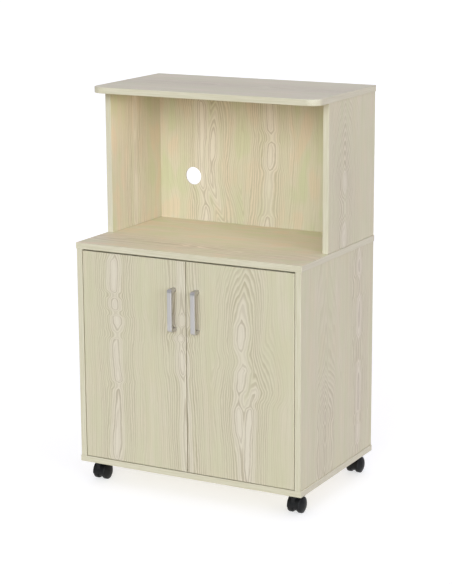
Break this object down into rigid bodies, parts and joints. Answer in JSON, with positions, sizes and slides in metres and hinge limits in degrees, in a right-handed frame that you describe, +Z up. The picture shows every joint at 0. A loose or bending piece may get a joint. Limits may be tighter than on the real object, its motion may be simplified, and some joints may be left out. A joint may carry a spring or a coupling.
{
  "type": "microwave stand",
  "caption": "Rolling kitchen cart in pale oak board: open hutch over a worktop, cabinet with doors, bow handles and an inner shelf below, hooded casters under it.",
  "frame": {"origin": "on the floor, under the centre of the whole object's box, door handles included", "axes": "+Z up, +Y from the doors to the back, +X to the right of someone facing the doors"},
  "size_m": [0.604, 0.427, 0.97],
  "materials": {
    "oak_board": "pale oak print on melamine-faced particle board, satin",
    "oak_back": "pale oak print on thin fibreboard, satin",
    "beech": "fluted beech, raw",
    "satin_metal": "satin silver",
    "zinc": "nickel plated",
    "steel": "zinc plated",
    "magnet": "dull grey",
    "catch_plastic": "matte white",
    "black_steel": "black coated",
    "black_plastic": "moulded black nylon, low sheen"
  },
  "bodies": {
    "cabinet": {"bottom_board": "oak_board", "left_side_panel": "oak_board", "right_side_panel": "oak_board", "worktop_board": "oak_board", "lower_back_panel": "oak_back", "inner_shelf": "oak_board", "shelf_pins": "zinc", "hutch_left_panel": "oak_board", "hutch_right_panel": "oak_board", "hutch_back_panel": "oak_back", "top_board": "oak_board", "cam_locks": "zinc", "cam_bolts": "steel", "cam_cover_discs": "oak_board", "dowels": "beech", "left_hinge_arms": "zinc", "right_hinge_arms": "zinc", "left_hinge_plates": "zinc", "right_hinge_plates": "zinc", "hinge_plate_screws": "steel", "catch_housing": "catch_plastic", "catch_magnets": "magnet", "catch_screws": "steel", "front_left_caster_plate": "black_steel", "front_right_caster_plate": "black_steel", "rear_left_caster_plate": "black_steel", "rear_right_caster_plate": "black_steel", "caster_screws": "steel"},
    "left_door": {"left_door": "oak_board", "left_handle": "satin_metal", "left_handle_screws": "steel", "left_hinge_cups": "zinc", "left_hinge_pins": "steel", "left_door_screws": "steel", "left_strike_plate": "steel"},
    "right_door": {"right_door": "oak_board", "right_handle": "satin_metal", "right_handle_screws": "steel", "right_hinge_cups": "zinc", "right_hinge_pins": "steel", "right_door_screws": "steel", "right_strike_plate": "steel"},
    "front_left_caster": {"front_left_caster_hood": "black_plastic", "front_left_caster_axle": "steel"},
    "front_left_outer_wheel_body": {"front_left_outer_wheel": "black_plastic"},
    "front_left_inner_wheel_body": {"front_left_inner_wheel": "black_plastic"},
    "front_right_caster": {"front_right_caster_hood": "black_plastic", "front_right_caster_axle": "steel"},
    "front_right_outer_wheel_body": {"front_right_outer_wheel": "black_plastic"},
    "front_right_inner_wheel_body": {"front_right_inner_wheel": "black_plastic"},
    "rear_left_caster": {"rear_left_caster_hood": "black_plastic", "rear_left_caster_axle": "steel"},
    "rear_left_outer_wheel_body": {"rear_left_outer_wheel": "black_plastic"},
    "rear_left_inner_wheel_body": {"rear_left_inner_wheel": "black_plastic"},
    "rear_right_caster": {"rear_right_caster_hood": "black_plastic", "rear_right_caster_axle": "steel"},
    "rear_right_outer_wheel_body": {"rear_right_outer_wheel": "black_plastic"},
    "rear_right_inner_wheel_body": {"rear_right_inner_wheel": "black_plastic"}
  },
  "joints": [
    {"name": "left_door_hinge", "type": "hinge", "parent": "cabinet", "child": "left_door", "pos_m": [-0.2745, -0.1841, 0.329], "axis": [0, 0, -1], "range_deg": [0, 95]},
    {"name": "right_door_hinge", "type": "hinge", "parent": "cabinet", "child": "right_door", "pos_m": [0.2745, -0.1841, 0.329], "axis": [0, 0, 1], "range_deg": [0, 95]},
    {"name": "front_left_swivel", "type": "hinge", "parent": "cabinet", "child": "front_left_caster", "pos_m": [-0.2685, -0.154, 0.049], "axis": [0, 0, 1], "continuous": true},
    {"name": "front_left_outer_wheel_spin", "type": "hinge", "parent": "front_left_caster", "child": "front_left_outer_wheel_body", "pos_m": [-0.2685, -0.142, 0.02], "axis": [1, 0, 0], "continuous": true},
    {"name": "front_left_inner_wheel_spin", "type": "hinge", "parent": "front_left_caster", "child": "front_left_inner_wheel_body", "pos_m": [-0.2685, -0.142, 0.02], "axis": [1, 0, 0], "continuous": true},
    {"name": "front_right_swivel", "type": "hinge", "parent": "cabinet", "child": "front_right_caster", "pos_m": [0.2685, -0.154, 0.049], "axis": [0, 0, 1], "continuous": true},
    {"name": "front_right_outer_wheel_spin", "type": "hinge", "parent": "front_right_caster", "child": "front_right_outer_wheel_body", "pos_m": [0.2685, -0.142, 0.02], "axis": [1, 0, 0], "continuous": true},
    {"name": "front_right_inner_wheel_spin", "type": "hinge", "parent": "front_right_caster", "child": "front_right_inner_wheel_body", "pos_m": [0.2685, -0.142, 0.02], "axis": [1, 0, 0], "continuous": true},
    {"name": "rear_left_swivel", "type": "hinge", "parent": "cabinet", "child": "rear_left_caster", "pos_m": [-0.2685, 0.178, 0.049], "axis": [0, 0, 1], "continuous": true},
    {"name": "rear_left_outer_wheel_spin", "type": "hinge", "parent": "rear_left_caster", "child": "rear_left_outer_wheel_body", "pos_m": [-0.2685, 0.19, 0.02], "axis": [1, 0, 0], "continuous": true},
    {"name": "rear_left_inner_wheel_spin", "type": "hinge", "parent": "rear_left_caster", "child": "rear_left_inner_wheel_body", "pos_m": [-0.2685, 0.19, 0.02], "axis": [1, 0, 0], "continuous": true},
    {"name": "rear_right_swivel", "type": "hinge", "parent": "cabinet", "child": "rear_right_caster", "pos_m": [0.2685, 0.178, 0.049], "axis": [0, 0, 1], "continuous": true},
    {"name": "rear_right_outer_wheel_spin", "type": "hinge", "parent": "rear_right_caster", "child": "rear_right_outer_wheel_body", "pos_m": [0.2685, 0.19, 0.02], "axis": [1, 0, 0], "continuous": true},
    {"name": "rear_right_inner_wheel_spin", "type": "hinge", "parent": "rear_right_caster", "child": "rear_right_inner_wheel_body", "pos_m": [0.2685, 0.19, 0.02], "axis": [1, 0, 0], "continuous": true}
  ]
}
